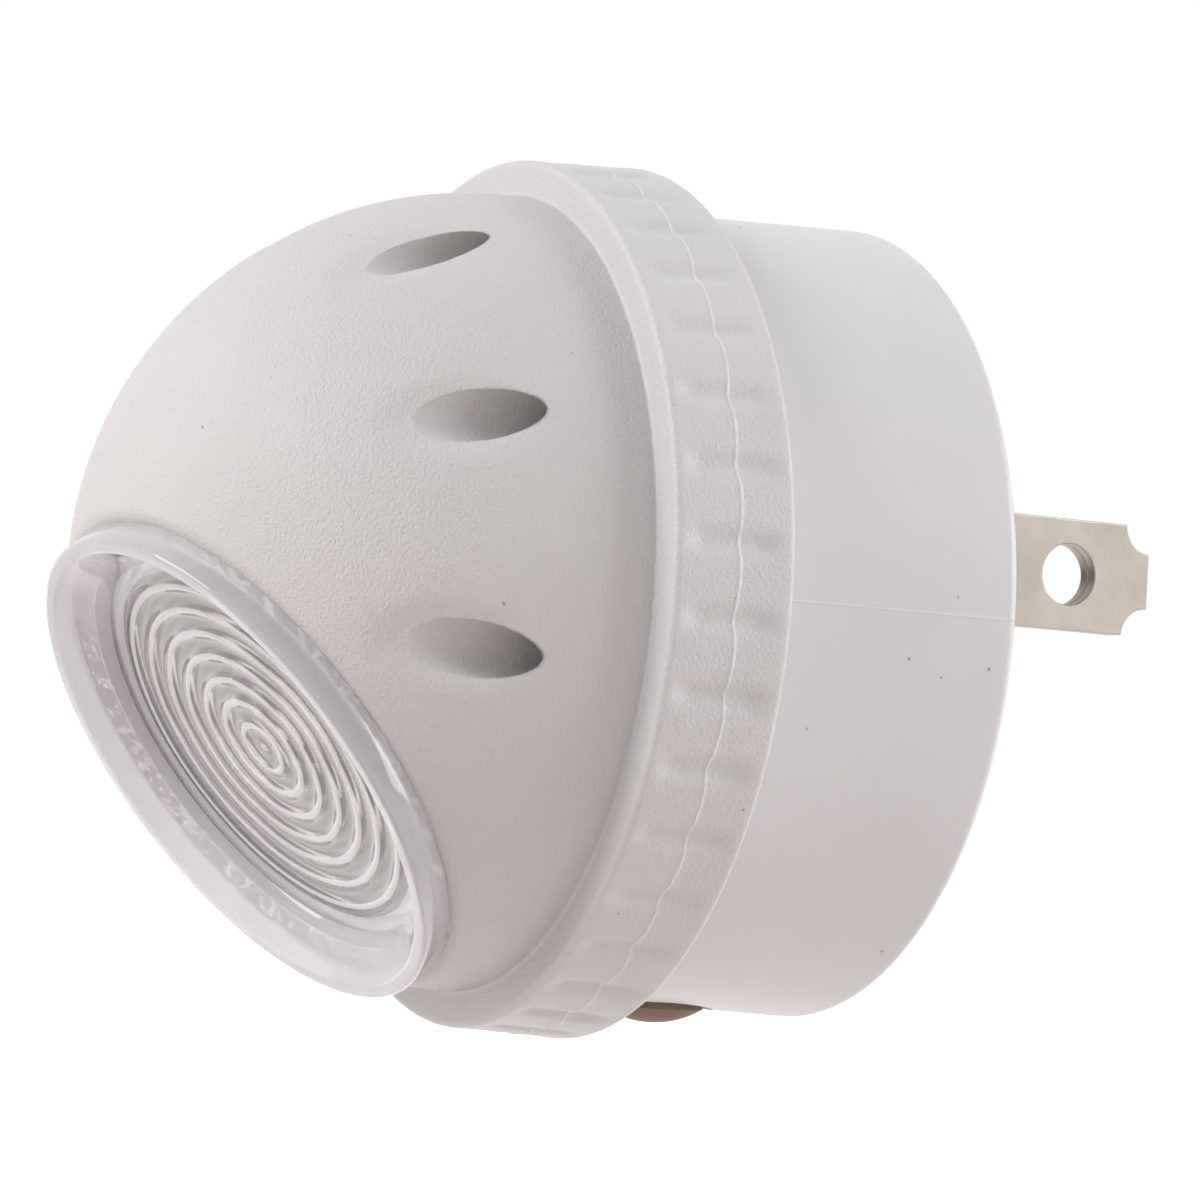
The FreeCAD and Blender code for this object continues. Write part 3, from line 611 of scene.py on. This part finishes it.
def blade_piece(name, side, node):
    gap = 0.05
    leaf_thickness = (BLADE_THICKNESS - gap) / 2
    offset = (leaf_thickness + gap) / 2
    middle = side * BLADE_X
    parts = [leaf("outer_leaf", middle + offset, leaf_thickness, 0, 0.08),
             leaf("inner_leaf", middle - offset, leaf_thickness, 0, 0.08),
             leaf("fold_core", middle, 0.3, 0.1, 0.02)]
    foot = bmesh.new()
    bmesh.ops.create_cube(foot, size=1)
    low_x = middle + side * (BLADE_THICKNESS / 2 - 0.1)
    high_x = middle + side * (BLADE_THICKNESS / 2 + BLADE_FOOT_REACH)
    size = Matrix.Diagonal((abs(high_x - low_x), BLADE_FOOT_DEPTH, BLADE_FOOT_WIDTH, 1))
    foot.transform(Matrix.Translation(((low_x + high_x) / 2, BLADE_FOOT_Y, BLADE_RISE)) @ size)
    bmesh.ops.bevel(foot, geom=foot.edges[:], offset=0.12, segments=2, affect="EDGES")
    parts.append(mesh_object("blade_foot", foot))
    blade = join(name, parts)
    blade.data.shade_smooth()
    blade.data.set_sharp_from_angle(angle=math.radians(50))
    return finish_piece(blade, [nickel], "base", "blade_metal", node)


blade_piece("plug_blade_right", 1, "blade_right")
blade_piece("plug_blade_left", -1, "blade_left")


# Head shell

def groove_wave(angle):
    """How deep the soft groove between two flats is, from 0 to 1."""
    off = (angle * GROOVE_COUNT / (2 * math.pi) + GROOVE_PHASE + 0.5) % 1 - 0.5
    return math.exp(-(off / GROOVE_WIDTH) ** 2)


def smooth(value, low, high):
    t = max(0.0, min(1.0, (value - low) / (high - low)))
    return t * t * (3 - 2 * t)


def ring_line_y(angle):
    """Where the wavy moulding line runs around the band."""
    return RING_LINE_Y + 0.05 * math.sin(angle * GROOVE_COUNT) + 0.04 * math.sin(angle * 17)


def ring_shape(r, y, angle):
    """Sinks the grooves into the band and raises its wavy moulding line."""
    if r < RING_FRONT_R - 0.6:
        return r, y
    fade = smooth(-y, 15.0, 16.6) * (1 - smooth(-y, 19.6, 20.9))
    line_rise = math.exp(-((y - ring_line_y(angle)) / RING_LINE_WIDTH) ** 2)
    return r - GROOVE_DEPTH * fade * groove_wave(angle) + RING_LINE_HEIGHT * line_rise, y


def ring_part():
    rear_edge = RING_REAR_EDGE
    front_edge = RING_FRONT_EDGE
    band = arc((RING_REAR_R - rear_edge, RING_REAR_Y - rear_edge), rear_edge, 90, 0, 4)
    side_start = (RING_REAR_R, RING_REAR_Y - 0.35)
    side_end = (RING_FRONT_R, RING_FRONT_Y + front_edge)
    upper = (RING_REAR_R - 0.15, RING_LINE_Y + 0.5)
    lower = (RING_REAR_R - 0.2, RING_LINE_Y - 0.5)
    band += line(side_start, upper, 0.25) + line(upper, lower, 0.045) + line(lower, side_end, 0.25)
    band += arc((RING_FRONT_R - front_edge, RING_FRONT_Y + front_edge), front_edge, 0, -90, 6)
    fillet_r = 0.3
    corner = (DOME_R + fillet_r, RING_FRONT_Y - fillet_r)
    band += line((RING_FRONT_R - 0.45, RING_FRONT_Y), (corner[0], RING_FRONT_Y), 0.3)
    band += arc(corner, fillet_r, 90, 178, 8)
    band += [(DOME_R - 0.3, RING_FRONT_Y - 0.75), (DOME_R - DOME_WALL, RING_FRONT_Y - 0.3),
             (DOME_R - DOME_WALL, RING_LEDGE_Y), (RING_BORE_R, RING_LEDGE_Y),
             (RING_BORE_R, CLIP_GROOVE_FRONT_Y), (CLIP_GROOVE_R, CLIP_GROOVE_FRONT_Y),
             (CLIP_GROOVE_R, CLIP_GROOVE_REAR_Y), (RING_BORE_R, CLIP_GROOVE_REAR_Y),
             (RING_BORE_R, RING_REAR_Y)]
    ring = lathe_object("ring_part", band, even_angles(GROOVE_COUNT * 20), head_matrix, shape=ring_shape)
    to_head = head_matrix.inverted()
    # Faces on the wavy moulding line get the lighter line plastic, a painted highlight.
    for polygon in ring.data.polygons:
        at = to_head @ (polygon.center / MM)
        off_line = abs(at.y - ring_line_y(math.atan2(at.x, at.z) % (2 * math.pi)))
        polygon.material_index = 1 if off_line < 0.06 and math.hypot(at.x, at.z) > 23 else 0
    return ring


def vent_places():
    """Each vent's own axes: its middle line runs along their y."""
    places = []
    for vent_angle in VENT_ANGLES:
        turn = math.radians(vent_angle)
        offset = Vector((VENT_LINE_R * math.sin(turn), 0, VENT_LINE_R * math.cos(turn)))
        places.append(head_matrix @ Matrix.Translation(offset))
    return places


def soften_vents(dome):
    """Sinks the dome a little beside the front of each vent, so that the edge there is rounded."""
    reach = VENT_EDGE_REACH
    lines = [place.translation for place in vent_places()]
    for vertex in dome.data.vertices:
        point = vertex.co / MM
        if point.y > DOME_Y - VENT_REAR - 0.8 or point.y < DOME_Y - 13:
            continue
        from_centre = point - Vector((0, DOME_Y, 0))
        if from_centre.length < DOME_R - 0.1:
            continue
        for at in lines:
            away = math.hypot(point.x - at.x, point.z - at.z) - VENT_R
            if away < reach:
                near = min(1.0, (reach - away) / reach)
                front = smooth(DOME_Y - VENT_REAR - point.y, 0.8, 4.5)
                sink = VENT_EDGE_SINK * near * near * front
                vertex.co -= from_centre.normalized() * sink * MM


def dome_part():
    """Dome turned about the lens axis, so that the lens seat has a round, even edge."""
    edge = DOME_EDGE
    # the rounding touches the flat seat from inside and the ball
    round_d = LENS_SEAT - edge
    round_r = math.sqrt((DOME_R - edge) ** 2 - round_d ** 2)
    touch = math.degrees(math.atan2(round_d, round_r))
    inner_r = DOME_R - DOME_WALL
    profile = [(LENS_HOLE_R, -LENS_BOSS_DEPTH), (LENS_HOLE_R, -LENS_SEAT)]
    profile += line((LENS_HOLE_R + 0.2, -LENS_SEAT), (round_r, -LENS_SEAT), 0.3)
    profile += arc((round_r, -round_d), edge, -90, -touch, 8)
    span = touch + 90
    profile += arc((0, 0), DOME_R, -touch, 90, round(span / 0.9))[1:-1] + [(0, DOME_R)]
    profile += [(0, inner_r)]
    inner_touch = math.degrees(math.acos(DOME_INNER_HOLE_R / inner_r))
    profile += arc((0, 0), inner_r, 90, -inner_touch, round((inner_touch + 90) / 1.5))[1:]
    dome = lathe_object("dome_part", profile, even_angles(400), lens_matrix)
    soften_vents(dome)
    ball_profile = [(0, -DOME_R + 0.6)] + arc((0, 0), DOME_R - 0.6, -89, 89, 60) + [(0, DOME_R - 0.6)]
    centre = head_matrix @ Matrix.Translation((0, DOME_Y, 0))
    rear_profile = rod_profile(30, RING_FRONT_Y - 0.12, 10)
    rear = lathe_object("rear_cut", rear_profile, even_angles(64), head_matrix, False)
    cut(dome, [rear])
    sleeves = []
    bores = []
    for place in vent_places():
        outside = rod_profile(VENT_R + VENT_WALL, DOME_Y - 12, VENT_FLOOR_Y)
        sleeve = lathe_object("sleeve", outside, even_angles(48), place, False)
        ball = lathe_object("ball", ball_profile, even_angles(96), centre, False)
        sleeves.append(cut(sleeve, [ball], "INTERSECT"))
        bore = rod_profile(VENT_R, DOME_Y - 16, VENT_FLOOR_Y - VENT_FLOOR)
        bores.append(lathe_object("bore", bore, even_angles(64), place, False))
    cut(dome, sleeves, "UNION")
    return cut(dome, bores)


def head_piece():
    ring = ring_part()
    whole = join("head_moulding", [dome_part(), ring])
    coats = [dome_plastic, ring_plastic, line_highlight_plastic]
    return finish_piece(whole, coats, "head", "head_plastic", "head_shell")


head_piece()


# Lens

def ridge_crest(radius):
    """0 in the valleys, 1 on each ring's crest and at the centre."""
    return 0.5 + 0.5 * math.cos(2 * math.pi * radius / RIDGE_PITCH)


def lens_piece():
    disc = LENS_FRONT - LENS_RECESS
    count = 170
    profile = [(0, -LENS_DISC_BACK), (0, -(disc + RIDGE_HEIGHT / 2))]
    for index in range(1, count + 1):
        radius = RIDGE_END_R * index / count
        profile.append((radius, -(disc + RIDGE_HEIGHT * (ridge_crest(radius) ** 1.5 - 0.5))))
    border = -(disc - RIDGE_HEIGHT / 2)
    profile += [(RIDGE_END_R + 0.1, border), (LENS_DISC_R - 0.1, border)]
    profile += arc((LENS_DISC_R + 0.15, -disc - 0.2), 0.2, 120, 160, 3)
    profile += line((LENS_DISC_R + 0.1, -disc - 0.35), (LENS_MOUTH_R - 0.1, -LENS_FRONT + 0.12), 0.5)
    profile += [(LENS_MOUTH_R - 0.1, -LENS_FRONT + 0.12), (LENS_MOUTH_R, -LENS_FRONT + 0.03)]
    profile += [(LENS_MOUTH_R + 0.12, -LENS_FRONT), (LENS_FLANGE_R - 0.25, -LENS_FRONT)]
    profile += arc((LENS_FLANGE_R - 0.2, -LENS_FRONT + 0.2), 0.2, -90, 0, 4)
    profile += [(LENS_FLANGE_R, -LENS_SEAT - 0.15), (LENS_FLANGE_R - 0.1, -LENS_SEAT),
                (LENS_SPIGOT_R, -LENS_SEAT), (LENS_SPIGOT_R, -LENS_BOSS_DEPTH),
                (LENS_CLIP_GROOVE_R, -LENS_BOSS_DEPTH), (LENS_CLIP_GROOVE_R, -LENS_CLIP_GROOVE_END),
                (LENS_SPIGOT_R - 0.1, -LENS_CLIP_GROOVE_END),
                (LENS_SPIGOT_R - 0.4, -LENS_SPIGOT_END), (LENS_SPIGOT_BORE_R, -LENS_SPIGOT_END),
                (LENS_SPIGOT_BORE_R, -LENS_DISC_BACK + 0.2), (LENS_SPIGOT_BORE_R - 0.2, -LENS_DISC_BACK)]
    lens = lathe_object("ridged_lens", profile, even_angles(240), lens_matrix, sharp=40)
    to_lens = lens_matrix.inverted()
    for polygon in lens.data.polygons:
        at = to_lens @ (polygon.center / MM)
        radius = math.hypot(at.x, at.z)
        front = at.y < -LENS_DISC_BACK - 0.5
        outside = front and radius > RIDGE_END_R + 0.05
        # Crest faces get the milky ridge plastic, a painted highlight.
        crest = front and RIDGE_PITCH / 2 < radius < RIDGE_END_R and ridge_crest(radius) > 0.82
        polygon.material_index = 1 if outside else 2 if crest else 0
    return finish_piece(lens, [lens_clear, lens_rim, lens_crest_highlight], "head", "lens_clear", "lens")


lens_piece()


# Camera, at the photograph's viewing angle

def camera():
    azimuth = math.radians(63.284)
    elevation = math.radians(-2.62)
    roll = math.radians(3.916)
    distance = 240.0
    back = Vector((math.sin(azimuth) * math.cos(elevation),
                   -math.cos(azimuth) * math.cos(elevation), math.sin(elevation)))
    level = Vector((math.cos(azimuth), math.sin(azimuth), 0))
    rise = back.cross(level)
    right = level * math.cos(roll) + rise * math.sin(roll)
    up = rise * math.cos(roll) - level * math.sin(roll)
    target = Vector((0, -19.6, 0)) + level * 5.588 + rise * 0.091
    place = target + back * distance
    data = bpy.data.cameras.new("camera")
    data.sensor_width = 36
    data.lens = 130.7
    data.clip_start = 0.01
    made = bpy.data.objects.new("camera", data)
    bpy.context.scene.collection.objects.link(made)
    made.matrix_world = Matrix((
        (right.x, up.x, back.x, place.x * MM),
        (right.y, up.y, back.y, place.y * MM),
        (right.z, up.z, back.z, place.z * MM),
        (0, 0, 0, 1),
    ))
    bpy.context.scene.camera = made
    return right, up, back, target


view_right, view_up, view_back, view_target = camera()


# Stage and light

def seen_directly(tree):
    """1 for camera, mirror and see-through rays, and 0 for rays that light the object."""
    path = tree.nodes.new("ShaderNodeLightPath")
    first = tree.nodes.new("ShaderNodeMath")
    first.operation = "MAXIMUM"
    tree.links.new(path.outputs["Is Camera Ray"], first.inputs[0])
    tree.links.new(path.outputs["Is Glossy Ray"], first.inputs[1])
    second = tree.nodes.new("ShaderNodeMath")
    second.operation = "MAXIMUM"
    tree.links.new(first.outputs[0], second.inputs[0])
    tree.links.new(path.outputs["Is Transmission Ray"], second.inputs[1])
    bounced = tree.nodes.new("ShaderNodeMath")
    bounced.operation = "LESS_THAN"
    bounced.inputs[1].default_value = 0.5
    tree.links.new(path.outputs["Diffuse Depth"], bounced.inputs[0])
    both = tree.nodes.new("ShaderNodeMath")
    both.operation = "MULTIPLY"
    tree.links.new(second.outputs[0], both.inputs[0])
    tree.links.new(bounced.outputs[0], both.inputs[1])
    return both.outputs[0]


def world():
    """Soft light, a little warmer from below, and white where it is seen."""
    made = bpy.data.worlds.new("studio")
    bpy.context.scene.world = made
    made.use_nodes = True
    tree = made.node_tree
    background = tree.nodes["Background"]
    coordinates = tree.nodes.new("ShaderNodeTexCoord")
    split = tree.nodes.new("ShaderNodeSeparateXYZ")
    tree.links.new(coordinates.outputs["Generated"], split.inputs[0])
    height = tree.nodes.new("ShaderNodeMapRange")
    height.inputs["From Min"].default_value = -0.6
    height.inputs["From Max"].default_value = 0.6
    tree.links.new(split.outputs["Z"], height.inputs["Value"])
    glow = tree.nodes.new("ShaderNodeValToRGB")
    glow.color_ramp.elements[0].color = (0.55, 0.5, 0.48, 1)
    glow.color_ramp.elements[1].color = (0.455, 0.455, 0.468, 1)
    tree.links.new(height.outputs["Result"], glow.inputs["Fac"])
    level = tree.nodes.new("ShaderNodeMix")
    level.data_type = "RGBA"
    colours = [socket for socket in level.inputs if socket.type == "RGBA"]
    tree.links.new(seen_directly(tree), level.inputs[0])
    tree.links.new(glow.outputs["Color"], colours[0])
    colours[1].default_value = (1, 1, 1, 1)
    result = [socket for socket in level.outputs if socket.type == "RGBA"][0]
    tree.links.new(result, background.inputs["Color"])
    background.inputs["Strength"].default_value = 1.0


world()


def floor():
    size = 6.0
    bpy.ops.mesh.primitive_plane_add(size=size, location=(0, 0, -0.06))
    made = bpy.context.object
    made.name = "floor"
    material = bpy.data.materials.new("pale_floor")
    material.use_nodes = True
    tree = material.node_tree
    shader = tree.nodes["Principled BSDF"]
    shader.inputs["Base Color"].default_value = (0.7, 0.635, 0.61, 1)
    shader.inputs["Roughness"].default_value = 0.9
    seen = seen_directly(tree)
    glow = tree.nodes.new("ShaderNodeMath")
    glow.operation = "MULTIPLY"
    glow.inputs[1].default_value = 0.95
    tree.links.new(seen, glow.inputs[0])
    shader.inputs["Emission Color"].default_value = (1, 1, 1, 1)
    tree.links.new(glow.outputs[0], shader.inputs["Emission Strength"])
    made.data.materials.append(material)


floor()


def lamp(name, across, above, toward, size, watts):
    """Soft square lamp placed by the camera's own directions, in metres from the object."""
    data = bpy.data.lights.new(name, "AREA")
    data.size = size
    data.energy = watts
    made = bpy.data.objects.new(name, data)
    bpy.context.scene.collection.objects.link(made)
    middle = view_target * MM
    made.location = middle + view_right * across + view_up * above + view_back * toward
    made.rotation_euler = (middle - made.location).to_track_quat("-Z", "Y").to_euler()


lamp("key", -0.62, 0.48, 0.23, 0.45, 3.8)
lamp("side", 0.55, 0.12, 0.0, 0.35, 1.8)

scene = bpy.context.scene
scene.view_settings.view_transform = "Standard"
